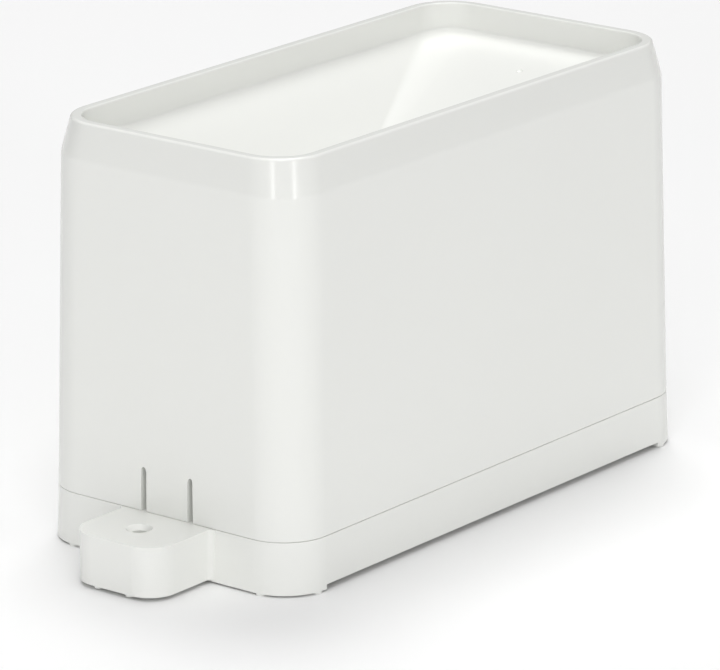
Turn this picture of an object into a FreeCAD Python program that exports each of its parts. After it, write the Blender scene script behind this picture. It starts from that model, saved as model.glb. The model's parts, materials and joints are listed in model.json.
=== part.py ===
import FreeCAD, Part
import math
import os
import Sketcher

# Tipping-bucket rain gauge, millimetres, +Z up.
# Origin: centre of the bounding box, on the ground. The screw lug points towards -Y.
# Every sub-part is built about the middle of the housing, which the lug sets back from the origin.

DIMENSIONS = {
    # heights above the ground
    "skirt_edge": 0.4,
    "side_edge": 1.25,
    "floor_under": 1.6,
    "floor_top": 3.4,
    "tray_top": 10.05,
    "lip_top": 13.0,
    "cover_bottom": 10.35,
    "slot_top": 18.3,
    "break_height": 71.9,
    "rim_height": 78.45,
    # plan sizes of the moulded shells
    "skirt_width": 59.6,
    "skirt_length": 119.0,
    "seam_width": 59.1,
    "seam_length": 118.5,
    "break_width": 56.7,
    "break_length": 116.1,
    "rim_width": 54.1,
    "rim_length": 113.5,
    "corner_radius": 9.1,
    "wall": 2.0,
    "lip_gap": 0.35,
    "lip_wall": 1.6,
    # funnel
    "collar_depth": 5.1,
    "funnel_drop": 14.0,
    "funnel_skin": 2.3,
    "funnel_foot": 16.32,
    "funnel_foot_corner": 1.2,
    "drain_mouth": 7.68,
    "drain_mouth_corner": 0.6,
    "drain_radius": 3.2,
    "spout_radius": 4.8,
    "spout_tip": 46.0,
    # screw lug
    "lug_left": 8.9,
    "lug_right": 11.0,
    "lug_reach": 15.5,
    "lug_edge": 0.8,
    "lug_corner": 5.2,
    "lug_root": 1.0,
    "lug_skin": 2.2,
    "lug_overlap": 12.0,
    "lug_hole": 1.5,
    "sink_radius": 2.4,
    "sink_depth": 0.9,
    "lug_hole_side": 0.8,
    "lug_hole_reach": 7.4,
    "rear_hole_inset": 7.0,
    "boss_radius": 4.3,
    "foot_radius": 1.0,
    "foot_root": 0.4,
    "foot_inset": 1.1,
    "foot_setback": 1.4,
    "stop_radius": 0.8,
    "stop_apart": 3.6,
    "stop_inset": 0.9,
    "hook_room": 2.5,
    # snap tab
    "tab_left": 3.85,
    "tab_right": 5.9,
    "slot_width": 1.0,
    "tab_root_gap": 0.3,
    "hook_bottom": 6.0,
    "hook_reach": 1.7,
    "hook_nose": 0.9,
    "hook_chamfer": 0.8,
    "hook_step": 2.0,
    # tipping bucket
    "axle_height": 18.0,
    "axle_radius": 1.0,
    "axle_half": 14.2,
    "running_gap": 0.05,
    "rest_tilt": 18.0,
    "bucket_half": 23.0,
    "bucket_width": 20.0,
    "bucket_wall": 1.4,
    "bucket_low": 2.6,
    "bucket_rise": 4.0,
    "divider_top": 22.0,
    "divider_root": 1.6,
    "hub_radius": 3.0,
    "hub_half": 11.2,
    "magnet_up": 15.0,
    "magnet_radius": 2.0,
    "magnet_seat": 0.6,
    "magnet_proud": 1.0,
    "magnet_wall": 0.9,
    "slot_near": 17.5,
    "slot_far": 24.5,
    "slot_pitch": 4.6,
    "slot_half": 1.2,
    # bracket
    "standoff": 4.0,
    "plate": 2.0,
    "cheek_inner": 11.6,
    "cheek_outer": 13.6,
    "bracket_half": 17.0,
    "rest_middle": 14.9,
    "rest_half": 0.8,
    "rest_reach": 7.0,
    "post_radius": 3.0,
    "post_apart": 9.0,
    "bracket_screw": 5.4,
    # electronics case, measured from the middle of the housing towards +Y
    "case_half": 25.0,
    "case_front": 17.2,
    "case_back": 47.6,
    "case_top": 38.4,
    "case_wall": 1.6,
    "case_floor": 1.8,
    "case_corner": 3.0,
    "case_post": 16.0,
    "case_screw": 5.0,
    "lid_screw": 8.0,
    "lid_plug": 1.2,
    "plug_gap": 0.1,
    "seal": 0.8,
    "lid": 2.0,
    "ear_reach": 2.6,
    "ear_radius": 3.0,
    "ear_side": 19.0,
    "ear_height": 8.0,
    "screw_radius": 1.1,
    "head_radius": 2.2,
    "head": 1.5,
    # circuit board
    "board_half": 21.0,
    "board_low": 11.0,
    "board_high": 36.0,
    "board_thick": 1.6,
    "board_gap": 1.8,
    "board_post": 1.9,
    "board_hole": 17.0,
    "board_middle": 25.0,
    "board_screw": 3.2,
    "reed_radius": 0.8,
    "reed_half": 7.0,
    "lead_radius": 0.3,
    "lead_half": 10.0,
    "coil_radius": 1.6,
    "coil_lift": 1.7,
    "coil_lead": 0.4,
    "coil_height": 30.0,
    "coil_near": 4.0,
    "coil_far": 13.0,
    "radio_low": 25.0,
    "radio_high": 35.0,
    "radio_left": 12.0,
    "radio_right": 2.0,
    "radio_step": 1.0,
    "radio_skirt": 1.4,
    "radio_crown": 2.0,
    # cells and their contacts
    "cell_radius": 5.25,
    "cell_half": 22.25,
    "cell_barrel": 21.3,
    "button_radius": 1.9,
    "cell_pitch": 11.0,
    "cell_first": 29.2,
    "cell_height": 17.4,
    "cradle_floor": 1.7,
    "cradle_front": 6.6,
    "cradle_back": 5.2,
    "rib_near": 4.5,
    "rib_far": 7.5,
    "contact_near": 22.4,
    "contact_far": 22.9,
    "contact_stop": 23.3,
    "contact_tall": 4.5,
    "bridge_inset": 3.0,
    "blade_half": 4.2,
    "pip_half": 1.5,
}

doc = FreeCAD.newDocument("rain_gauge")
sheet = doc.addObject("Spreadsheet::Sheet", "dims")
for row, (alias, value) in enumerate(DIMENSIONS.items(), start=1):
    sheet.set("A%d" % row, alias)
    sheet.set("B%d" % row, str(value))
    sheet.setAlias("B%d" % row, alias)
doc.recompute()

subparts = []


def cells(text):
    """Expression text with every dimension name pointed at the sheet."""
    words = []
    word = ""
    for letter in str(text) + " ":
        if letter.isalnum() or letter == "_":
            word += letter
            continue
        words.append("dims." + word if word in DIMENSIONS else word)
        words.append(letter)
        word = ""
    return "".join(words).strip()


def bind(item, **sizes):
    for path, text in sizes.items():
        item.setExpression(path.replace("__", "."), cells(text))
    return item


def finish(item, label):
    """Give a sub-part its name and move it from the housing's middle to the row frame."""
    item.Label = label
    bind(item, Placement__Base__y="(seam_length / 2 + lug_reach - skirt_length / 2) / 2")
    subparts.append(item)
    return item


# ---- Part primitives -------------------------------------------------------------------------

def box(x, y, z):
    """A box between three pairs of expressions."""
    item = doc.addObject("Part::Box", "block")
    bind(item, Length="(%s) - (%s)" % (x[1], x[0]), Width="(%s) - (%s)" % (y[1], y[0]),
         Height="(%s) - (%s)" % (z[1], z[0]), Placement__Base__x=x[0], Placement__Base__y=y[0],
         Placement__Base__z=z[0])
    return item


TURNS = {"x": FreeCAD.Vector(0, 1, 0), "y": FreeCAD.Vector(-1, 0, 0), "z": None}


def rod(radius, x, y, z, axis="z"):
    """A cylinder along one axis: that axis has a pair of expressions, the others have one each."""
    item = doc.addObject("Part::Cylinder", "rod")
    if TURNS[axis]:
        item.Placement.Rotation = FreeCAD.Rotation(TURNS[axis], 90)
    low = {"x": x, "y": y, "z": z}
    start, end = low[axis]
    low[axis] = start
    bind(item, Radius=radius, Height="(%s) - (%s)" % (end, start), Placement__Base__x=low["x"],
         Placement__Base__y=low["y"], Placement__Base__z=low["z"])
    return item


def countersink(x, y, top):
    """A conical seat for a screw head, its wide end level with a face at top."""
    item = doc.addObject("Part::Cone", "sink")
    bind(item, Radius1="lug_hole", Radius2="sink_radius", Height="sink_depth", Placement__Base__x=x,
         Placement__Base__y=y, Placement__Base__z="(%s) - sink_depth" % top)
    return item


def fuse(items):
    item = doc.addObject("Part::MultiFuse", "joined")
    item.Shapes = items
    item.Refine = True
    return item


def cut(base, tools):
    item = doc.addObject("Part::Cut", "trimmed")
    item.Base = base
    item.Tool = tools[0] if len(tools) == 1 else fuse(tools)
    return item


def group(items):
    """Separate identical solids that share one node."""
    item = doc.addObject("Part::Compound", "set")
    item.Links = items
    return item


def screw(x, y, top, length):
    """Pan-head screw standing upright, its head on a level face at top."""
    head = rod("head_radius", x, y, (top, "(%s) + head" % top))
    shank = rod("screw_radius", x, y, ("(%s) - %s" % (top, length), top))
    return fuse([head, shank])


def level_screw(x, face, height, length):
    """Pan-head screw lying along Y, its head on the +Y side of a face."""
    head = rod("head_radius", x, (face, "(%s) + head" % face), height, "y")
    shank = rod("screw_radius", x, ("(%s) - %s" % (face, length), face), height, "y")
    return fuse([head, shank])


# ---- PartDesign shells -----------------------------------------------------------------------

def new_body(name):
    return doc.addObject("PartDesign::Body", name)


def origin_plane(body, role):
    return next(f for f in body.Origin.OriginFeatures if f.Role == role)


def rounded_sketch(body, x, y, radius, height):
    """Rounded rectangle between expression pairs x and y, on a level plane at a height."""
    sketch = body.newObject("Sketcher::SketchObject", "outline")
    sketch.AttachmentSupport = [(origin_plane(body, "XY_Plane"), "")]
    sketch.MapMode = "FlatFace"
    span, r = 20.0, 4.0
    arcs = []
    lines = []
    for quarter in range(4):
        turn = math.pi / 2 * quarter
        side = span - r
        mid = FreeCAD.Vector(side * math.sqrt(2) * math.cos(turn + math.pi / 4),
                             side * math.sqrt(2) * math.sin(turn + math.pi / 4), 0)
        circle = Part.Circle(mid, FreeCAD.Vector(0, 0, 1), r)
        arcs.append(sketch.addGeometry(Part.ArcOfCircle(circle, turn, turn + math.pi / 2)))
    for quarter in range(4):
        start = sketch.getPoint(arcs[quarter], 2)
        end = sketch.getPoint(arcs[(quarter + 1) % 4], 1)
        lines.append(sketch.addGeometry(Part.LineSegment(start, end)))
    for quarter in range(4):
        following = arcs[(quarter + 1) % 4]
        sketch.addConstraint(Sketcher.Constraint("Tangent", arcs[quarter], 2, lines[quarter], 1))
        sketch.addConstraint(Sketcher.Constraint("Tangent", lines[quarter], 2, following, 1))
        kind = "Horizontal" if quarter % 2 == 0 else "Vertical"
        sketch.addConstraint(Sketcher.Constraint(kind, lines[quarter]))
    for quarter in range(1, 4):
        sketch.addConstraint(Sketcher.Constraint("Equal", arcs[0], arcs[quarter]))
    sides = {"high_y": ("DistanceY", lines[0]), "low_x": ("DistanceX", lines[1]),
             "low_y": ("DistanceY", lines[2]), "high_x": ("DistanceX", lines[3])}
    for name, (kind, line) in sides.items():
        value = -span if name.startswith("low") else span
        index = sketch.addConstraint(Sketcher.Constraint(kind, line, 1, value))
        sketch.renameConstraint(index, name)
    index = sketch.addConstraint(Sketcher.Constraint("Radius", arcs[0], r))
    sketch.renameConstraint(index, "corner")
    bind(sketch, Constraints__low_x=x[0], Constraints__high_x=x[1], Constraints__low_y=y[0],
         Constraints__high_y=y[1], Constraints__corner=radius, AttachmentOffset__Base__z=height)
    return sketch


def centred(size):
    return ("-(%s) / 2" % size, "(%s) / 2" % size)


def loft(body, kind, sections):
    """Ruled loft through rounded rectangles, each given as width, length, corner radius, height."""
    sketches = [rounded_sketch(body, centred(w), centred(d), r, level) for w, d, r, level in sections]
    feature = body.newObject("PartDesign::" + kind, "shell")
    feature.Profile = sketches[0]
    feature.Sections = sketches[1:]
    feature.Ruled = True
    body.Tip = feature
    return feature


def prism(body, kind, x, y, radius, low, high):
    """Upright rounded block, added to or taken from a body, between two heights."""
    sketch = rounded_sketch(body, x, y, radius, low)
    feature = body.newObject("PartDesign::" + kind, "block")
    feature.Profile = sketch
    bind(feature, Length="(%s) - (%s)" % (high, low))
    feature.Reversed = kind == "Pocket"
    body.Tip = feature
    return feature


def profile_sketch(body, points):
    """Closed outline of straight sides on the YZ or XZ plane, each corner bound to two expressions."""
    plane, corners = points
    sketch = body.newObject("Sketcher::SketchObject", "outline")
    sketch.AttachmentSupport = [(origin_plane(body, plane), "")]
    sketch.MapMode = "FlatFace"
    count = len(corners)
    turn = FreeCAD.Rotation(FreeCAD.Vector(0, 0, 1), 360 / count)
    rough = [FreeCAD.Vector(10, 0, 0)]
    for _ in range(1, count):
        rough.append(turn.multVec(rough[-1]))
    for k in range(count):
        sketch.addGeometry(Part.LineSegment(rough[k], rough[(k + 1) % count]))
    for k in range(count):
        sketch.addConstraint(Sketcher.Constraint("Coincident", k, 2, (k + 1) % count, 1))
    for k, (across, up) in enumerate(corners):
        for kind, name, text, value in (("DistanceX", "across_%d" % k, across, rough[k].x),
                                        ("DistanceY", "up_%d" % k, up, rough[k].y)):
            index = sketch.addConstraint(Sketcher.Constraint(kind, k, 1, value))
            sketch.renameConstraint(index, name)
            sketch.setExpression("Constraints." + name, cells(text))
    return sketch


def profile_pad(body, kind, plane, corners, width):
    """Outline carried the same distance to both sides of its plane."""
    feature = body.newObject("PartDesign::" + kind, "block")
    feature.Profile = profile_sketch(body, (plane, corners))
    bind(feature, Length=width)
    feature.Midplane = True
    body.Tip = feature
    return feature


# ---- collector -------------------------------------------------------------------------------

def make_collector_housing():
    body = new_body("housing_shell")
    rim_inner_width = "rim_width - 2 * wall"
    rim_inner_length = "rim_length - 2 * wall"
    inner_radius = "corner_radius - wall"
    collar_low = "rim_height - collar_depth"
    drain_top = "rim_height - collar_depth - funnel_drop"
    loft(body, "AdditiveLoft", [
        ("seam_width", "seam_length", "corner_radius", "cover_bottom"),
        ("break_width", "break_length", "corner_radius", "break_height"),
        ("rim_width", "rim_length", "corner_radius", "rim_height")])
    loft(body, "SubtractiveLoft", [
        ("seam_width - 2 * wall", "seam_length - 2 * wall", inner_radius, "cover_bottom"),
        ("break_width - 2 * wall", "break_length - 2 * wall", inner_radius, "break_height - 1")])
    loft(body, "AdditiveLoft", [
        ("funnel_foot", "funnel_foot", "funnel_foot_corner", "%s - funnel_skin" % drain_top),
        ("rim_width - wall", "rim_length - wall", inner_radius, "%s - funnel_skin" % collar_low)])
    prism(body, "Pad", centred("rim_width - wall"), centred("rim_length - wall"), inner_radius,
          "%s - funnel_skin" % collar_low, "break_height")
    prism(body, "Pocket", centred(rim_inner_width), centred(rim_inner_length), inner_radius,
          collar_low, "rim_height")
    loft(body, "SubtractiveLoft", [
        (rim_inner_width, rim_inner_length, inner_radius, collar_low),
        ("drain_mouth", "drain_mouth", "drain_mouth_corner", drain_top)])
    spout = rod("spout_radius", "0", "0", ("spout_tip", "%s - 1" % drain_top))
    bore = rod("drain_radius", "0", "0", ("spout_tip - 1", "%s + 1" % drain_top))
    notch = box(("-tab_left - slot_width", "tab_right + slot_width"),
                ("-seam_length / 2 - 1", "-seam_length / 2 + 2 * wall"), ("cover_bottom - 1", "slot_top"))
    finish(cut(fuse([body, spout]), [bore, notch]), "collector_housing")


def make_latch_tab():
    body = new_body("tab_blade")
    outer = "-seam_length / 2"
    inner = "-seam_length / 2 + wall"
    lean = "(seam_length - break_length) / 2 / (break_height - cover_bottom)"
    top = "slot_top - tab_root_gap"
    profile_pad(body, "Pad", "YZ_Plane", [
        (outer, "cover_bottom"),
        (inner, "cover_bottom"),
        (inner, "hook_bottom + hook_chamfer"),
        (inner + " + hook_nose", "hook_bottom"),
        (inner + " + hook_reach", "hook_bottom"),
        (inner + " + hook_reach", "cover_bottom + hook_step"),
        (inner, "cover_bottom + 2 * hook_step"),
        (inner, top),
        (outer + " + %s * (%s - cover_bottom)" % (lean, top), top)], "tab_left + tab_right")
    finish(body, "latch_tab")
    bind(body, Placement__Base__x="(tab_right - tab_left) / 2")


# ---- base ------------------------------------------------------------------------------------

def standoffs():
    """Places of the raised bosses that carry the bracket and the electronics case, as x, y pairs."""
    middle = "(case_front + case_back) / 2"
    return [("-post_apart", "0"), ("post_apart", "0"), ("-case_post", middle), ("case_post", middle)]


def make_base_tray():
    body = new_body("tray_shell")
    hollow = "wall + lip_gap + lip_wall"
    loft(body, "AdditiveLoft", [
        ("skirt_width", "skirt_length", "corner_radius", "skirt_edge"),
        ("seam_width", "seam_length", "corner_radius", "tray_top")])
    prism(body, "Pad", ("-lug_left", "lug_right"),
          ("-seam_length / 2 - lug_reach", "-seam_length / 2 + lug_overlap"), "lug_corner",
          "lug_edge", "tray_top")
    prism(body, "Pad", centred("seam_width - 2 * wall - 2 * lip_gap"),
          centred("seam_length - 2 * wall - 2 * lip_gap"), "corner_radius - wall - lip_gap",
          "floor_top", "lip_top")
    prism(body, "Pocket", centred("seam_width - 2 * (%s)" % hollow),
          centred("seam_length - 2 * (%s)" % hollow), "corner_radius - (%s)" % hollow,
          "floor_top", "lip_top")
    prism(body, "Pocket", centred("skirt_width - 2 * wall"), centred("skirt_length - 2 * wall"),
          "corner_radius - wall", "skirt_edge", "floor_under")
    prism(body, "Pocket", ("-lug_left + wall", "lug_right - wall"),
          ("-seam_length / 2 - lug_reach + wall", "-skirt_length / 2"), "lug_corner - wall", "lug_edge",
          "tray_top - lug_skin")
    lug_y = "-seam_length / 2 - lug_hole_reach"
    rear_y = "seam_length / 2 - rear_hole_inset"
    posts = [rod("boss_radius", "lug_hole_side", lug_y, ("lug_edge", "tray_top"))] + lug_roots()
    for x, y in standoffs():
        posts.append(rod("post_radius", x, y, ("floor_under", "floor_top + standoff")))
    holes = [rod("lug_hole", "lug_hole_side", lug_y, ("lug_edge - 1", "tray_top + 1")),
             countersink("lug_hole_side", lug_y, "tray_top"),
             rod("lug_hole", "lug_hole_side", rear_y, ("floor_under - 1", "floor_top + 1"))]
    for x, y in standoffs():
        holes.append(rod("screw_radius", x, y, ("floor_top", "floor_top + standoff + 1")))
    for side in (-1, 1):
        holes += drain_slots(side)
        holes.append(box(both_ways(side, "seam_width / 2 - corner_radius", "skirt_width / 2 + 1"),
                         ("-seam_length / 2 + corner_radius", "seam_length / 2 - corner_radius"),
                         ("skirt_edge - 1", "side_edge")))
    holes.append(box(("-tab_left - hook_room", "tab_right + hook_room"),
                     ("-seam_length / 2 + wall", "-seam_length / 2 + 4 * wall"),
                     ("floor_top", "lip_top + 1")))
    finish(cut(fuse([body] + posts + feet()), holes), "base_tray")


def lug_roots():
    """Hollow roundings where the two sides of the lug meet the skirt."""
    face = "-seam_length / 2"
    front = face + " - lug_root - (skirt_length - seam_length) / 2"
    height = ("lug_edge", "tray_top")
    roots = []
    for near, far in (("lug_right", "lug_right + lug_root"), ("-lug_left", "-lug_left - lug_root")):
        start, end = (near, far) if near == "lug_right" else (far, near)
        block = box((start, end), (front, face + " + 1"), height)
        roots.append(cut(block, [rod("lug_root", far, front, height)]))
    return roots


def both_ways(side, near, far):
    """A span from near to far on the +X side, or its mirror image on the -X side."""
    return (near, far) if side > 0 else ("-(%s)" % far, "-(%s)" % near)


def drain_slots(side):
    """A row of slots in the floor below one end of the bucket."""
    slots = []
    for step in range(-2, 3):
        slots.append(box(both_ways(side, "slot_near", "slot_far"),
                         ("%d * slot_pitch - slot_half" % step, "%d * slot_pitch + slot_half" % step),
                         ("floor_under - 1", "floor_top + 1")))
    return slots


def feet():
    """Small feet under the ends of each rounded corner, and two stops under the front of the lug."""
    height = ("0", "skirt_edge + foot_root")
    pads = []
    for side in (-1, 1):
        for end in (-1, 1):
            pads.append(rod("foot_radius", "%d * (skirt_width / 2 - corner_radius + foot_radius)" % side,
                            "%d * (skirt_length / 2 - foot_inset)" % end, height))
            pads.append(rod("foot_radius", "%d * (skirt_width / 2 - foot_inset)" % side,
                            "%d * (skirt_length / 2 - corner_radius + foot_setback)" % end, height))
        pads.append(rod("stop_radius", "(lug_right - lug_left) / 2 + %d * stop_apart" % side,
                        "-seam_length / 2 - lug_reach + stop_inset", ("skirt_edge", "lug_edge + foot_root")))
    return pads


# ---- bucket and its bracket ------------------------------------------------------------------

def make_tipping_bucket():
    body = new_body("bucket_scoops")
    side = "bucket_width / 2"
    end_low = "bucket_low + bucket_rise"
    profile_pad(body, "Pad", "XZ_Plane", [
        ("-bucket_half", end_low),
        ("0", "bucket_low"),
        ("bucket_half", end_low),
        ("bucket_half", "divider_top / 2"),
        ("divider_root", "divider_top"),
        ("-divider_root", "divider_top"),
        ("-bucket_half", "divider_top / 2")], "bucket_width")
    mouth_low = "bucket_low + bucket_wall + bucket_rise * (bucket_half + 1) / bucket_half"
    for way in ("-", ""):
        profile_pad(body, "Pocket", "XZ_Plane", [
            (way + "bucket_wall / 2", "bucket_low + bucket_wall"),
            (way + "(bucket_half + 1)", mouth_low),
            (way + "(bucket_half + 1)", "divider_top + 1"),
            (way + "bucket_wall / 2", "divider_top + 1")], "bucket_width - 2 * bucket_wall")
    hub = rod("hub_radius", "0", ("-hub_half", "hub_half"), "0", "y")
    boss = rod("magnet_radius + magnet_wall", "0", (side + " - bucket_wall", side + " + magnet_proud"),
               "magnet_up", "y")
    axle_hole = rod("axle_radius", "0", ("-hub_half - 1", "hub_half + 1"), "0", "y")
    seat = rod("magnet_radius", "0", (side + " - magnet_seat", side + " + magnet_proud + 1"),
               "magnet_up", "y")
    bucket = cut(fuse([body, hub, boss]), [axle_hole, seat])
    bucket.Placement.Rotation = FreeCAD.Rotation(FreeCAD.Vector(0, 1, 0), DIMENSIONS["rest_tilt"])
    finish(bucket, "tipping_bucket")
    bind(bucket, Placement__Base__z="axle_height")


def make_axle_and_magnet():
    axle = rod("axle_radius", "0", ("-axle_half", "axle_half"), "axle_height", "y")
    finish(group([axle]), "bucket_axle")
    magnet = rod("magnet_radius", "magnet_up * sin(rest_tilt * 1 deg)",
                 ("bucket_width / 2 - magnet_seat", "bucket_width / 2 + magnet_proud"),
                 "axle_height + magnet_up * cos(rest_tilt * 1 deg)", "y")
    finish(group([magnet]), "bucket_magnet")


def make_bucket_bracket():
    base = "floor_top + standoff"
    top = base + " + plate"
    parts = [box(("-bracket_half", "bracket_half"), ("-cheek_outer - 1", "cheek_outer + 1"), (base, top))]
    for side in (-1, 1):
        cheek = both_ways(side, "cheek_inner", "cheek_outer")
        parts.append(box(("-hub_radius - 1", "hub_radius + 1"), cheek, (base, "axle_height")))
        parts.append(rod("hub_radius + 1", "0", cheek, "axle_height", "y"))
        parts.append(box(both_ways(side, "rest_middle - rest_half", "rest_middle + rest_half"),
                         ("-rest_reach", "rest_reach"), (base, "axle_height")))
    holes = [rod("axle_radius + running_gap", "0", ("-cheek_outer - 1", "cheek_outer + 1"),
                 "axle_height", "y")]
    for x, y in standoffs()[:2]:
        holes.append(rod("screw_radius", x, y, (base + " - 1", top + " + 1")))
    finish(cut(fuse(parts), holes), "bucket_bracket")
    finish(group([screw(x, y, top, "bracket_screw") for x, y in standoffs()[:2]]), "bracket_screws")


# ---- electronics -----------------------------------------------------------------------------

CASE_PLAN = (("-case_half", "case_half"), ("case_front", "case_back"))
CASE_HOLLOW = (("-case_half + case_wall", "case_half - case_wall"),
               ("case_front + case_wall", "case_back - case_wall"))


def ear_places():
    """Places of the four screw ears on the case's short flanges, as x, y pairs."""
    ends = ("case_front - ear_reach", "case_back + ear_reach")
    return [(x, y) for x in ("-ear_side", "ear_side") for y in ends]


def make_electronics_case():
    body = new_body("case_cup")
    base = "floor_top + standoff"
    inside = base + " + case_floor"
    prism(body, "Pad", *CASE_PLAN, "case_corner", base, "case_top")
    prism(body, "Pocket", *CASE_HOLLOW, "case_corner - case_wall", inside, "case_top")
    raised = [rod("ear_radius", x, y, ("case_top - ear_height", "case_top")) for x, y in ear_places()]
    holes = [rod("screw_radius", x, y, ("case_top - ear_height + case_wall", "case_top + 1"))
             for x, y in ear_places()]
    for x in ("-board_hole", "board_hole"):
        board_face = "case_front + case_wall + board_gap"
        raised.append(rod("board_post", x, ("case_front + case_wall / 2", board_face), "board_middle", "y"))
        holes.append(rod("screw_radius", x, (board_face + " - board_gap", board_face + " + 1"),
                         "board_middle", "y"))
    holes += [rod("screw_radius", x, y, (base + " - 1", inside + " + 1")) for x, y in standoffs()[2:]]
    finish(cut(fuse([body] + raised), holes), "electronics_case")
    finish(group([screw(x, y, inside, "case_screw") for x, y in standoffs()[2:]]), "case_screws")


def make_lid_and_seal():
    lid = new_body("lid_plate")
    low = "case_top + seal"
    top = low + " + lid"
    plug_inset = "(case_wall + plug_gap)"
    prism(lid, "Pad", *CASE_PLAN, "case_corner", low, top)
    prism(lid, "Pad", ("-case_half + " + plug_inset, "case_half - " + plug_inset),
          ("case_front + " + plug_inset, "case_back - " + plug_inset), "case_corner - " + plug_inset,
          "case_top - lid_plug", low)
    ears = [rod("ear_radius", x, y, (low, top)) for x, y in ear_places()]
    holes = [rod("screw_radius", x, y, (low + " - 1", top + " + 1")) for x, y in ear_places()]
    finish(cut(fuse([lid] + ears), holes), "electronics_lid")
    finish(group([screw(x, y, top, "lid_screw") for x, y in ear_places()]), "lid_screws")
    seal = new_body("seal_ring")
    prism(seal, "Pad", *CASE_PLAN, "case_corner", "case_top", low)
    prism(seal, "Pocket", *CASE_HOLLOW, "case_corner - case_wall", "case_top", low)
    finish(seal, "lid_seal")


def make_circuit_board():
    near = "case_front + case_wall + board_gap"
    far = near + " + board_thick"
    sides = ("-board_hole", "board_hole")
    board = box(("-board_half", "board_half"), (near, far), ("board_low", "board_high"))
    holes = [rod("screw_radius", x, (near + " - 1", far + " + 1"), "board_middle", "y") for x in sides]
    finish(cut(board, holes), "circuit_board")
    finish(group([level_screw(x, far, "board_middle", "board_screw") for x in sides]), "board_screws")


def make_board_parts():
    near = "case_front + case_wall + board_gap"
    far = near + " + board_thick"
    reed_place = (near + " - reed_radius", "axle_height + magnet_up")
    finish(fuse([rod("reed_radius", ("-reed_half", "reed_half"), *reed_place, "x"),
                 rod("lead_radius", ("-lead_half", "lead_half"), *reed_place, "x")]), "reed_switch")
    can = box(("-radio_left", "radio_right"), (far, far + " + radio_skirt"), ("radio_low", "radio_high"))
    crown = box(("-radio_left + radio_step", "radio_right - radio_step"), (far, far + " + radio_crown"),
                ("radio_low + radio_step", "radio_high - radio_step"))
    finish(fuse([can, crown]), "radio_module")
    winding = rod("coil_radius", ("coil_near", "coil_far"), far + " + coil_lift", "coil_height", "x")
    lead = rod("coil_lead", "coil_far", (far, far + " + coil_lift"), "coil_height", "y")
    finish(fuse([winding, lead]), "antenna_coil")


def make_cell(label, y, way):
    """One cell lying along X, its button on the +X side when way is 1."""
    plus = "%d * cell_half" % way
    minus = "-%d * cell_half" % way
    shoulder = "%d * cell_barrel" % way
    barrel = (minus, shoulder) if way > 0 else (shoulder, "cell_half")
    button = (shoulder, plus) if way > 0 else (plus, shoulder)
    finish(fuse([rod("cell_radius", barrel, y, "cell_height", "x"),
                 rod("button_radius", button, y, "cell_height", "x")]), label)


def make_cells():
    rear = "cell_first + cell_pitch"
    floor = "floor_top + standoff + case_floor"
    span_y = ("cell_first - cradle_front", rear + " + cradle_back")
    cradle = box(("-cell_half", "cell_half"), span_y, (floor + " + cradle_floor", "cell_height - 1"))
    ribs = [box(both_ways(side, "rib_near", "rib_far"), span_y, (floor, floor + " + cradle_floor"))
            for side in (-1, 1)]
    troughs = [rod("cell_radius + plug_gap", ("-cell_half - 1", "cell_half + 1"), y, "cell_height", "x")
               for y in ("cell_first", rear)]
    finish(cut(fuse([cradle] + ribs), troughs), "battery_holder")
    make_cell("battery_front", "cell_first", 1)
    make_cell("battery_rear", rear, -1)


def make_contacts():
    rear = "cell_first + cell_pitch"
    tall = ("cell_height - contact_tall", "cell_height + contact_tall")
    link = box(("contact_near", "contact_far"), ("cell_first - contact_tall", rear + " + contact_tall"),
               tall)
    bridge = box(("contact_near", "contact_stop"), ("cell_first + bridge_inset", rear + " - bridge_inset"),
                 tall)
    finish(fuse([link, bridge]), "link_contact")
    ends = []
    for y in ("cell_first", rear):
        blade = box(("-contact_far", "-contact_near"), (y + " - blade_half", y + " + blade_half"), tall)
        stop = box(("-contact_stop", "-contact_near"), (y + " - pip_half", y + " + pip_half"), tall)
        ends.append(fuse([blade, stop]))
    finish(group(ends), "end_contacts")


make_collector_housing()
make_latch_tab()
make_base_tray()
make_tipping_bucket()
make_axle_and_magnet()
make_bucket_bracket()
make_electronics_case()
make_lid_and_seal()
make_circuit_board()
make_board_parts()
make_cells()
make_contacts()
doc.recompute()

for item in doc.Objects:
    if "Invalid" in item.State or "Error" in item.State:
        raise RuntimeError("%s failed: %s" % (item.Label, item.State))
os.makedirs("parts", exist_ok=True)
for item in subparts:
    shape = item.Shape
    if shape.isNull() or not shape.isValid():
        raise RuntimeError("%s has no valid shape" % item.Label)
    shape.exportStep("parts/%s.step" % item.Label)
    box_mm = shape.BoundBox
    print("%-20s %2d solids %10.1f mm3  x %.2f..%.2f  y %.2f..%.2f  z %.2f..%.2f" % (
        item.Label, len(shape.Solids), shape.Volume, box_mm.XMin, box_mm.XMax, box_mm.YMin, box_mm.YMax,
        box_mm.ZMin, box_mm.ZMax))
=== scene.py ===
import json
import math

import bmesh
import bpy
from mathutils import Matrix, Vector


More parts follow.
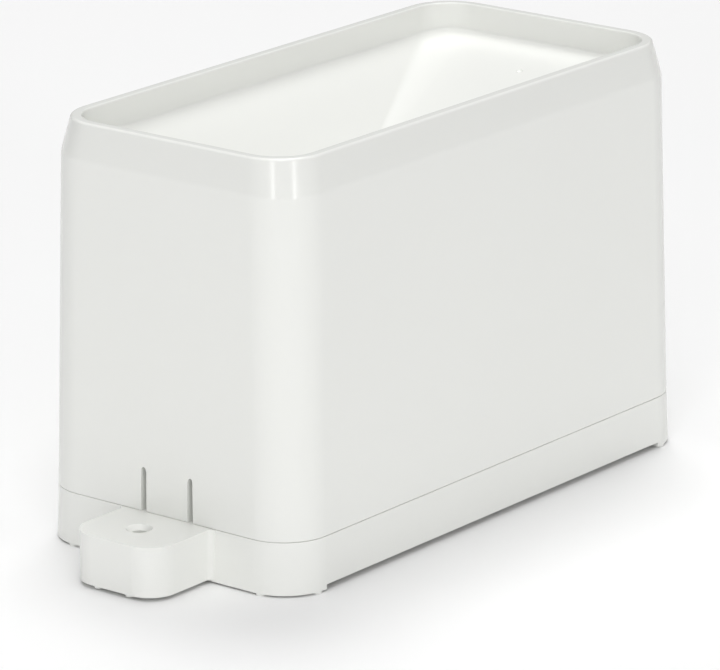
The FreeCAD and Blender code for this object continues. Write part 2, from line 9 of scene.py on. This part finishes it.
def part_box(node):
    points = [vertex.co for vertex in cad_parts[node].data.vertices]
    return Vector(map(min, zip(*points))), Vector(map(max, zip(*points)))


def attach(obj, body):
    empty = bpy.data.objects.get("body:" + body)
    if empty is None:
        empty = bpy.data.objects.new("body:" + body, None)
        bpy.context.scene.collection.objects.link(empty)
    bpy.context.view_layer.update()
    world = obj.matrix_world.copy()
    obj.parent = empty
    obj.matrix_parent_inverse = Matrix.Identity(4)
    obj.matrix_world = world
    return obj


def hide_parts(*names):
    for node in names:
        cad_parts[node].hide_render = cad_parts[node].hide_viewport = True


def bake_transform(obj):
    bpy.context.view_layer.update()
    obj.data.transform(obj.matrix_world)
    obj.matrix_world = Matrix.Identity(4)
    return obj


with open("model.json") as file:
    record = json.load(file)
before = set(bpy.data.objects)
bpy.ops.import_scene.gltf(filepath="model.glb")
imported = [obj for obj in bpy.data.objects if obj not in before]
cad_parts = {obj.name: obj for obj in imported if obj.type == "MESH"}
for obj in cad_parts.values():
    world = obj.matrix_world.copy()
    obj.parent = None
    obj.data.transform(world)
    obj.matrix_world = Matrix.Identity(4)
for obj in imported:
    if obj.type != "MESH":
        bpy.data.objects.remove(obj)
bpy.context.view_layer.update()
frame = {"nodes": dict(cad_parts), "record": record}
NODES = frame["nodes"]
MM = 0.001


# ---- sizes in millimetres; the outer ones are taken from the frame -------------------------------

def box_mm(node):
    low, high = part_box(node)
    return low / MM, high / MM


cover_low, cover_high = box_mm("collector_housing")
tab_low, tab_high = box_mm("latch_tab")
MIDDLE_Y = (cover_low.y + cover_high.y) / 2
COVER_HALF_X = (cover_high.x - cover_low.x) / 2
COVER_HALF_Y = (cover_high.y - cover_low.y) / 2
RIM_TOP = cover_high.z
WALL = 2.0
CORNER = 9.1

# The cover's skin reaches a little lower than its CAD shape, which leaves a hairline seam.
SEAM_CLOSING = 0.26
COVER_BOTTOM = cover_low.z - SEAM_CLOSING

# The outer wall leans in by BREAK_INSET up to the bend, and by RIM_INSET in all up to the rim.
BREAK_DOWN = 6.55
BREAK_Z = RIM_TOP - BREAK_DOWN
BREAK_INSET = 1.2
RIM_INSET = 2.5

# The mouth is the upright band inside the rim. The funnel falls from its foot to the drain.
COLLAR_DEPTH = 5.1
COLLAR_Z = RIM_TOP - COLLAR_DEPTH
MOUTH_INSET = RIM_INSET + WALL
MOUTH_HALF_X = COVER_HALF_X - MOUTH_INSET
MOUTH_HALF_Y = COVER_HALF_Y - MOUTH_INSET
MOUTH_CORNER = CORNER - WALL
FUNNEL_DROP = 14.0
FUNNEL_SKIN = 2.2
DRAIN = 3.2
DRAIN_HALF = 1.2 * DRAIN
DRAIN_CORNER = 0.9
DRAIN_Z = COLLAR_Z - FUNNEL_DROP
SPOUT = 4.8
SPOUT_TIP = 46.0

# The right slot and the tab's right edge stand in from the CAD tab's edge by SLOT_SHIFT.
SLOT_TOP = 18.3
SLOT_WIDTH = 1.3
SLOT_SHIFT = 0.3
TAB_RIGHT = tab_high.x - SLOT_SHIFT
TAB_ROOT = 17.6
TAB_BEND = 1.6


# ---- mesh helpers -------------------------------------------------------------------------------

def new_object(name, mesh):
    item = bpy.data.objects.new(name, mesh)
    bpy.context.scene.collection.objects.link(item)
    return item


def mesh_object(name, points, faces):
    """A mesh from points in millimetres."""
    mesh = bpy.data.meshes.new(name)
    mesh.from_pydata([Vector(p) * MM for p in points], [], faces)
    mesh.validate()
    build = bmesh.new()
    build.from_mesh(mesh)
    bmesh.ops.recalc_face_normals(build, faces=build.faces)
    build.to_mesh(mesh)
    build.free()
    return new_object(name, mesh)


def rounded_ring(half_x, half_y, radius, height, steps=14):
    """Points round an upright rounded rectangle about the housing's middle, anticlockwise from +X."""
    ring = []
    for quarter in range(4):
        sign_x = 1 if quarter in (0, 3) else -1
        sign_y = 1 if quarter in (0, 1) else -1
        for step in range(steps + 1):
            turn = math.pi / 2 * (quarter + step / steps)
            ring.append((sign_x * (half_x - radius) + radius * math.cos(turn),
                         MIDDLE_Y + sign_y * (half_y - radius) + radius * math.sin(turn), height))
    return ring


def closed_skin(name, rings):
    """A watertight band through rings of equal length, with the last ring joined to the first."""
    count = len(rings[0])
    points = [p for ring in rings for p in ring]
    faces = []
    for row in range(len(rings)):
        here, there = row * count, (row + 1) % len(rings) * count
        for k in range(count):
            after = (k + 1) % count
            faces.append((here + k, here + after, there + after, there + k))
    return mesh_object(name, points, faces)


def prism(name, outline, axis, low, high):
    """An outline in the plane across an axis, carried from low to high along it. Millimetres."""
    def place(a, b, c):
        return {"x": (c, a, b), "y": (a, c, b), "z": (a, b, c)}[axis]
    count = len(outline)
    points = [place(a, b, low) for a, b in outline] + [place(a, b, high) for a, b in outline]
    faces = [tuple(range(count)), tuple(range(count, 2 * count))]
    faces += [(k, (k + 1) % count, (k + 1) % count + count, k + count) for k in range(count)]
    return mesh_object(name, points, faces)


def cut_with(item, cutters):
    """Takes the cutters' volume out of an item and removes the cutters."""
    for cutter in cutters:
        change = item.modifiers.new("cut", "BOOLEAN")
        change.operation = "DIFFERENCE"
        change.solver = "EXACT"
        change.object = cutter
    bpy.context.view_layer.update()
    final = bpy.data.meshes.new_from_object(item.evaluated_get(bpy.context.evaluated_depsgraph_get()))
    item.modifiers.clear()
    item.data = final
    for cutter in cutters:
        bpy.data.objects.remove(cutter)


def smooth(item, degrees=32):
    """Smooth shading that keeps true corners sharp and flat faces flat."""
    mesh = item.data
    build = bmesh.new()
    build.from_mesh(mesh)
    for edge in build.edges:
        edge.smooth = edge.calc_face_angle(math.pi) < math.radians(degrees)
    for face in build.faces:
        face.smooth = True
    build.to_mesh(mesh)
    build.free()
    weigh = item.modifiers.new("normals", "WEIGHTED_NORMAL")
    weigh.keep_sharp = True
    weigh.weight = 80


def soften_node(node, width, degrees=30, flat_degrees=0.6):
    """Rounds the edges of a CAD node's picture by a small radius, without touching its own mesh."""
    item = NODES[node]
    for face in item.data.polygons:
        face.use_smooth = True
    merge = item.modifiers.new("flats", "DECIMATE")
    merge.decimate_type = "DISSOLVE"
    merge.angle_limit = math.radians(flat_degrees)
    merge.use_dissolve_boundaries = False
    round_off = item.modifiers.new("edges", "BEVEL")
    round_off.width = width * MM
    round_off.segments = 3
    round_off.limit_method = "ANGLE"
    round_off.angle_limit = math.radians(degrees)
    round_off.harden_normals = True
    round_off.use_clamp_overlap = True


# ---- materials ----------------------------------------------------------------------------------

# Depth of the finest surface relief, in metres, and how strongly plastic and glass bend light.
RELIEF = 0.00002
INDEX = 1.5


def new_material(name, color, roughness, metallic=0.0):
    material = bpy.data.materials.new(name)
    material.use_nodes = True
    shader = material.node_tree.nodes["Principled BSDF"]
    shader.inputs["Base Color"].default_value = (*color, 1.0)
    shader.inputs["Roughness"].default_value = roughness
    shader.inputs["Metallic"].default_value = metallic
    return material, material.node_tree, shader


def noise(tree, scale, detail=3.0, stretch=(1, 1, 1)):
    """Noise in the object's own metres."""
    place = tree.nodes.new("ShaderNodeTexCoord")
    mapping = tree.nodes.new("ShaderNodeMapping")
    mapping.inputs["Scale"].default_value = stretch
    texture = tree.nodes.new("ShaderNodeTexNoise")
    texture.inputs["Scale"].default_value = scale
    texture.inputs["Detail"].default_value = detail
    tree.links.new(place.outputs["Object"], mapping.inputs["Vector"])
    tree.links.new(mapping.outputs["Vector"], texture.inputs["Vector"])
    return texture.outputs["Fac"]


def ramp(tree, source, low, high, start=0.3, end=0.7):
    """Two colours or two greys spread over the middle of a noise."""
    item = tree.nodes.new("ShaderNodeValToRGB")
    item.color_ramp.elements[0].position = start
    item.color_ramp.elements[1].position = end
    item.color_ramp.elements[0].color = (*low, 1.0)
    item.color_ramp.elements[1].color = (*high, 1.0)
    tree.links.new(source, item.inputs["Fac"])
    return item.outputs["Color"]


def bump(tree, shader, source, strength):
    item = tree.nodes.new("ShaderNodeBump")
    item.inputs["Strength"].default_value = strength
    item.inputs["Distance"].default_value = RELIEF
    tree.links.new(source, item.inputs["Height"])
    tree.links.new(item.outputs["Normal"], shader.inputs["Normal"])


def moulded_plastic(name, color, roughness, drift=0.012, grain=1800.0, depth=0.06):
    """Moulded plastic: slow colour drift, uneven gloss and a very fine skin texture."""
    material, tree, shader = new_material(name, color, roughness)
    darker = tuple(c * (1 - drift) for c in color)
    lighter = tuple(min(1.0, c * (1 + drift)) for c in color)
    slow = noise(tree, scale=22.0)
    tree.links.new(ramp(tree, slow, darker, lighter, 0.1, 0.9), shader.inputs["Base Color"])
    patches = noise(tree, scale=60.0, detail=4.0)
    gloss = ramp(tree, patches, (roughness * 0.85,) * 3, (roughness * 1.15,) * 3, 0.1, 0.9)
    tree.links.new(gloss, shader.inputs["Roughness"])
    bump(tree, shader, noise(tree, grain, detail=2.0), depth)
    shader.inputs["IOR"].default_value = INDEX
    return material


def metal(name, color, roughness, stretch):
    """Drawn or turned metal with fine lines."""
    material, tree, shader = new_material(name, color, roughness, metallic=1.0)
    lines = noise(tree, scale=900.0, detail=5.0, stretch=stretch)
    gloss = ramp(tree, lines, (roughness * 0.7,) * 3, (roughness * 1.4,) * 3)
    tint = ramp(tree, noise(tree, scale=300.0), tuple(c * 0.93 for c in color), color)
    tree.links.new(gloss, shader.inputs["Roughness"])
    tree.links.new(tint, shader.inputs["Base Color"])
    bump(tree, shader, lines, strength=0.15)
    return material


def clear_glass(name, color, roughness, clearness):
    material, tree, shader = new_material(name, color, roughness)
    shader.inputs["Transmission Weight"].default_value = clearness
    shader.inputs["IOR"].default_value = INDEX
    bump(tree, shader, noise(tree, scale=400.0), strength=0.05)
    return material


def dress(item, material):
    item.data.materials.clear()
    item.data.materials.append(material)


WHITE = (0.925, 0.932, 0.90)
FINISHES = {
    "housing_white": moulded_plastic("housing_white", WHITE, 0.22, drift=0.006),
    "base_white": moulded_plastic("base_white", WHITE, 0.23, drift=0.006),
    "bracket_white": moulded_plastic("bracket_white", (0.72, 0.72, 0.70), 0.48),
    "bucket_grey": moulded_plastic("bucket_grey", (0.045, 0.047, 0.05), 0.42, drift=0.08),
    "case_black": moulded_plastic("case_black", (0.018, 0.018, 0.02), 0.5, drift=0.12, grain=1200.0,
                                  depth=0.3),
    "seal_rubber": moulded_plastic("seal_rubber", (0.03, 0.03, 0.032), 0.75, drift=0.1, grain=1500.0,
                                   depth=0.4),
    "steel": metal("steel", (0.62, 0.62, 0.63), 0.18, stretch=(1, 1, 8)),
    "magnet": metal("magnet", (0.72, 0.72, 0.73), 0.12, stretch=(1, 1, 1)),
    "shield_tin": metal("shield_tin", (0.66, 0.66, 0.64), 0.19, stretch=(6, 1, 1)),
    "copper": metal("copper", (0.80, 0.42, 0.26), 0.19, stretch=(1, 1, 1)),
    "cell_wrap": moulded_plastic("cell_wrap", (0.03, 0.09, 0.26), 0.34, drift=0.1),
    "board_green": moulded_plastic("board_green", (0.012, 0.11, 0.035), 0.34, drift=0.25, grain=700.0,
                                   depth=0.4),
    "reed_glass": clear_glass("reed_glass", (0.45, 0.75, 0.60), 0.08, clearness=0.85),
}

for part in frame["record"]["subparts"]:
    dress(NODES[part["node"]], FINISHES[part["material_slot"]])


# ---- cover: housing, rim, funnel and spout in one skin -------------------------------------------

def face_y(height):
    """Y of the lug-side outer wall at a height below the bend."""
    lean = BREAK_INSET * (height - COVER_BOTTOM) / (BREAK_Z - COVER_BOTTOM)
    return MIDDLE_Y - COVER_HALF_Y + lean


def outer_inset(height):
    """How far the outer wall stands in from the cover's widest outline at a height."""
    if height < BREAK_Z:
        return BREAK_INSET * (height - COVER_BOTTOM) / (BREAK_Z - COVER_BOTTOM)
    return BREAK_INSET + (RIM_INSET - BREAK_INSET) * (height - BREAK_Z) / BREAK_DOWN


def inset_ring(inset, radius, height):
    return rounded_ring(COVER_HALF_X - inset, COVER_HALF_Y - inset, radius, height)


def slope_ring(share, height):
    """A ring on the funnel, a share of the way from the foot of the upright band to the drain."""
    return rounded_ring(MOUTH_HALF_X + (DRAIN_HALF - MOUTH_HALF_X) * share,
                        MOUTH_HALF_Y + (DRAIN_HALF - MOUTH_HALF_Y) * share,
                        MOUTH_CORNER + (DRAIN_CORNER - MOUTH_CORNER) * share, height)


def pipe_ring(radius, height, flat=0.02):
    """A round ring, with flats just long enough to keep its points apart."""
    return rounded_ring(radius, radius, radius - flat, height)


def quarter_turn(steps):
    """Angles from nothing to a right angle."""
    return [math.pi / 2 * step / steps for step in range(steps + 1)]


def outer_wall_rings():
    """From the rounded foot up the wall and round the soft bend."""
    rings = []
    foot = 0.2
    for turn in quarter_turn(3):
        shrink = foot * (1 - math.sin(turn))
        rings.append(inset_ring(shrink, CORNER - shrink, COVER_BOTTOM + foot * (1 - math.cos(turn))))
    for share in (0.25, 0.5, 0.75):
        height = COVER_BOTTOM + share * (BREAK_Z - COVER_BOTTOM)
        rings.append(inset_ring(outer_inset(height), CORNER, height))
    bend, rounding, steps = 0.5, 0.045, 3
    for step in range(-steps, steps + 1):
        height = BREAK_Z + bend * step / steps
        inset = outer_inset(height) + rounding * bend * (1 - abs(step / steps)) ** 2
        rings.append(inset_ring(inset, CORNER, height))
    return rings


def rim_rings():
    """Over the rim: its outer edge, then its inner edge."""
    rings = []
    edge, lip = 0.45, 0.35
    outer_slope = math.atan2(RIM_INSET - BREAK_INSET, BREAK_DOWN)
    for turn in quarter_turn(5):
        inward = edge * (1 - math.cos(turn))
        lean = edge * math.tan(outer_slope) * (1 - math.sin(turn))
        rings.append(inset_ring(RIM_INSET + inward - lean, CORNER - inward,
                                RIM_TOP - edge * (1 - math.sin(turn))))
    for turn in quarter_turn(5):
        outward = lip * (1 - math.sin(turn))
        rings.append(inset_ring(MOUTH_INSET - outward, MOUTH_CORNER + outward,
                                RIM_TOP - lip * (1 - math.cos(turn))))
    return rings


def funnel_rings():
    """From the upright band through a hollow rounding and down the slopes, nearly to the drain."""
    hollow, hollow_share, hollow_steps = 0.4, 0.03, 4
    rings = [inset_ring(MOUTH_INSET, MOUTH_CORNER, COLLAR_Z + hollow)]
    for step in range(1, hollow_steps + 1):
        share = step / hollow_steps
        height = COLLAR_Z + hollow * (1 - share) ** 2 - FUNNEL_DROP * hollow_share * share
        rings.append(slope_ring(hollow_share * share * share, height))
    slope_share, slope_steps = 0.94, 13
    for step in range(1, slope_steps + 1):
        share = hollow_share + slope_share * step / slope_steps
        rings.append(slope_ring(share, COLLAR_Z - FUNNEL_DROP * share))
    return rings


def spout_rings():
    """The drain's flared mouth, down inside the spout, round its tip and up outside."""
    mouth_depth, flare_depth, throat_depth, flare = 0.25, 0.9, 1.6, 0.1
    chamfer, chamfer_rise = 0.3, 0.4
    root_drop = 1.4
    return [slope_ring(1.0, DRAIN_Z - mouth_depth),
            pipe_ring(DRAIN + flare, DRAIN_Z - flare_depth),
            pipe_ring(DRAIN, DRAIN_Z - throat_depth),
            pipe_ring(DRAIN, SPOUT_TIP + chamfer_rise),
            pipe_ring(DRAIN + chamfer, SPOUT_TIP),
            pipe_ring(SPOUT - chamfer, SPOUT_TIP),
            pipe_ring(SPOUT, SPOUT_TIP + chamfer_rise),
            pipe_ring(SPOUT, DRAIN_Z - FUNNEL_SKIN - root_drop)]


def underside_rings():
    """Below the funnel from the spout out to the wall, then down inside the wall to its foot."""
    rings = []
    root_half, root_corner, overlap = 7.0, 1.2, 0.3
    for share in (0.0, 0.33, 0.66, 1.0):
        rings.append(rounded_ring(root_half + (MOUTH_HALF_X + overlap - root_half) * share,
                                  root_half + (MOUTH_HALF_Y + overlap - root_half) * share,
                                  root_corner + (MOUTH_CORNER - root_corner) * share,
                                  DRAIN_Z - FUNNEL_SKIN + FUNNEL_DROP * share))
    under_rise, fillet, fillet_drop = 0.2, 0.3, 0.8
    under = COLLAR_Z - FUNNEL_SKIN + under_rise
    rings.append(inset_ring(WALL + outer_inset(under) + fillet, MOUTH_CORNER - fillet, under))
    rings.append(inset_ring(WALL + outer_inset(under - fillet_drop), MOUTH_CORNER, under - fillet_drop))
    draft, foot_rise, foot_chamfer = 0.05, 0.3, 0.15
    rings.append(inset_ring(WALL + draft, MOUTH_CORNER, COVER_BOTTOM + foot_rise))
    rings.append(inset_ring(WALL - foot_chamfer, MOUTH_CORNER, COVER_BOTTOM))
    return rings


def slot_outline(left, right):
    """A slot in the lug-side wall: rounded at the top, a little wider at the foot."""
    foot = COVER_BOTTOM - 1
    taper, steps = 0.14, 8
    half = (right - left) / 2 - taper
    mid = (left + right) / 2
    outline = [(mid - half - taper, foot), (mid + half + taper, foot)]
    for step in range(steps + 1):
        turn = math.pi * step / steps
        outline.append((mid + half * math.cos(turn), SLOT_TOP - half + half * math.sin(turn)))
    return outline


def gate_mark():
    """A small pit left by the moulding gate, on the funnel's slope away from the lug."""
    radius, share, side, lift = 0.9, 0.21, 1.2, 0.7
    height = COLLAR_Z - FUNNEL_DROP * share
    slope_y = MOUTH_HALF_Y + (DRAIN_HALF - MOUTH_HALF_Y) * share
    build = bmesh.new()
    bmesh.ops.create_icosphere(build, subdivisions=3, radius=radius * MM)
    mesh = bpy.data.meshes.new("cutter_gate")
    build.to_mesh(mesh)
    build.free()
    cutter = new_object("cutter_gate", mesh)
    cutter.location = Vector((side, MIDDLE_Y + slope_y, height + lift * radius)) * MM
    return cutter


def make_cover():
    rings = outer_wall_rings() + rim_rings() + funnel_rings() + spout_rings() + underside_rings()
    cover = closed_skin("cover_shell", rings)
    near, deep = MIDDLE_Y - COVER_HALF_Y - 2, MIDDLE_Y - COVER_HALF_Y + 2 * WALL
    foot_gap, side_gap = 0.3, 0.14
    tab_space = [(tab_low.x - foot_gap, COVER_BOTTOM - 1), (TAB_RIGHT + foot_gap, COVER_BOTTOM - 1),
                 (TAB_RIGHT + side_gap, TAB_ROOT), (tab_low.x - side_gap, TAB_ROOT)]
    cut_with(cover, [
        prism("cutter_left", slot_outline(tab_low.x - SLOT_WIDTH, tab_low.x), "y", near, deep),
        prism("cutter_right", slot_outline(TAB_RIGHT, TAB_RIGHT + SLOT_WIDTH), "y", near, deep),
        prism("cutter_tab", tab_space, "y", near, deep),
        gate_mark()])
    smooth(cover)
    dress(cover, FINISHES["housing_white"])
    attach(cover, "collector")
    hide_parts("collector_housing")


def make_tab():
    """Snap tab: same wall as the cover, filling its cut-out up to the root. The hook behind it has no bite.
    """
    bend = [TAB_ROOT - TAB_BEND / 4 * step for step in range(5)]
    foot_chamfer, foot_rise = 0.15, 0.2
    outer = [(face_y(COVER_BOTTOM) + foot_chamfer, COVER_BOTTOM)]
    outer += [(face_y(height), height) for height in (COVER_BOTTOM + foot_rise, 12.0, 14.0, *reversed(bend))]
    wall = MIDDLE_Y - COVER_HALF_Y + WALL
    back, front, reach = wall + 0.1, wall + 0.2, wall + 1.7
    inner = [(back, height) for height in bend]
    hook = [(back, COVER_BOTTOM + 4), (wall + 1.1, COVER_BOTTOM + 2.9), (reach, COVER_BOTTOM + 2),
            (reach, tab_low.z + 0.3), (wall + 1.4, tab_low.z), (wall + 0.9, tab_low.z),
            (front, tab_low.z + 0.8), (front, COVER_BOTTOM)]
    tab = prism("snap_tab", outer + inner + hook, "x", tab_low.x, TAB_RIGHT)
    smooth(tab)
    dress(tab, FINISHES["housing_white"])
    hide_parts("latch_tab")
    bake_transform(tab)


make_cover()
make_tab()
soften_node("base_tray", 0.45)
for node in ("tipping_bucket", "bucket_bracket", "electronics_case", "electronics_lid", "battery_holder"):
    soften_node(node, 0.25)
for node in ("bracket_screws", "case_screws", "lid_screws", "board_screws", "circuit_board", "radio_module",
             "battery_front", "battery_rear", "bucket_axle", "bucket_magnet", "lid_seal"):
    soften_node(node, 0.12)


# ---- floor, lights and camera -------------------------------------------------------------------

def make_floor():
    half, under, top = 4000, -20, -0.02
    floor = prism("floor", [(-half, -half), (half, -half), (half, half), (-half, half)], "z", under, top)
    material, tree, shader = new_material("floor_white", (0.97, 0.97, 0.97), 0.9)
    shader.inputs["Specular IOR Level"].default_value = 0.0
    tone = ramp(tree, noise(tree, scale=3.0), (0.968, 0.968, 0.968), (0.972, 0.972, 0.972))
    tree.links.new(tone, shader.inputs["Base Color"])
    dress(floor, material)


def polar(azimuth, elevation, distance):
    """A place seen from the middle of the floor: azimuth 0 is the lug side, 90 the +X side. Degrees."""
    around, up = math.radians(azimuth), math.radians(elevation)
    return Vector((distance * math.sin(around) * math.cos(up), -distance * math.cos(around) * math.cos(up),
                   distance * math.sin(up)))


def soft_box(name, azimuth, elevation, distance, size, power):
    """A rectangular light that faces the middle of the object. Metres and watts."""
    data = bpy.data.lights.new(name, "AREA")
    data.shape = "RECTANGLE"
    data.size, data.size_y = size
    data.energy = power
    item = new_object(name, data)
    item.location = polar(azimuth, elevation, distance)
    aim = Vector((0, 0, 0.04))
    item.rotation_euler = (aim - item.location).to_track_quat("-Z", "Y").to_euler()


def make_lights():
    world = bpy.data.worlds.new("studio")
    world.use_nodes = True
    background = world.node_tree.nodes["Background"]
    background.inputs["Color"].default_value = (1, 1, 1, 1)
    background.inputs["Strength"].default_value = 0.1
    bpy.context.scene.world = world
    soft_box("overhead", azimuth=215, elevation=66, distance=2.6, size=(1.0, 1.0), power=22.0)
    soft_box("top", azimuth=0, elevation=90, distance=2.6, size=(2.4, 2.4), power=28.0)
    soft_box("front", azimuth=38, elevation=48, distance=3.0, size=(1.8, 1.8), power=26.0)
    soft_box("strip_left", azimuth=22, elevation=9, distance=3.0, size=(0.3, 1.0), power=8.5)
    soft_box("strip_right", azimuth=69, elevation=9, distance=3.0, size=(0.3, 1.0), power=9.5)
    soft_box("left", azimuth=-40, elevation=30, distance=3.0, size=(1.8, 1.8), power=4.0)
    soft_box("right", azimuth=90, elevation=35, distance=3.0, size=(1.8, 1.8), power=3.0)


def make_camera():
    """Long lens, from the lug end and a little above."""
    azimuth, elevation, roll = math.radians(38.407), math.radians(17.098), math.radians(-0.279)
    distance = 1.00216
    aim = Vector((-0.0063, 0.01264, 0.02676))
    back = Vector((math.sin(azimuth) * math.cos(elevation), -math.cos(azimuth) * math.cos(elevation),
                   math.sin(elevation)))
    data = bpy.data.cameras.new("camera")
    data.sensor_width = 36.0
    data.lens = 270.08
    data.clip_start, data.clip_end = 0.05, 50.0
    item = new_object("camera", data)
    turn = (-back).to_track_quat("-Z", "Y").to_matrix().to_4x4()
    item.matrix_world = Matrix.Translation(aim + back * distance) @ turn @ Matrix.Rotation(roll, 4, "Z")
    bpy.context.scene.camera = item


make_floor()
make_lights()
make_camera()
bpy.context.scene.view_settings.view_transform = "Standard"
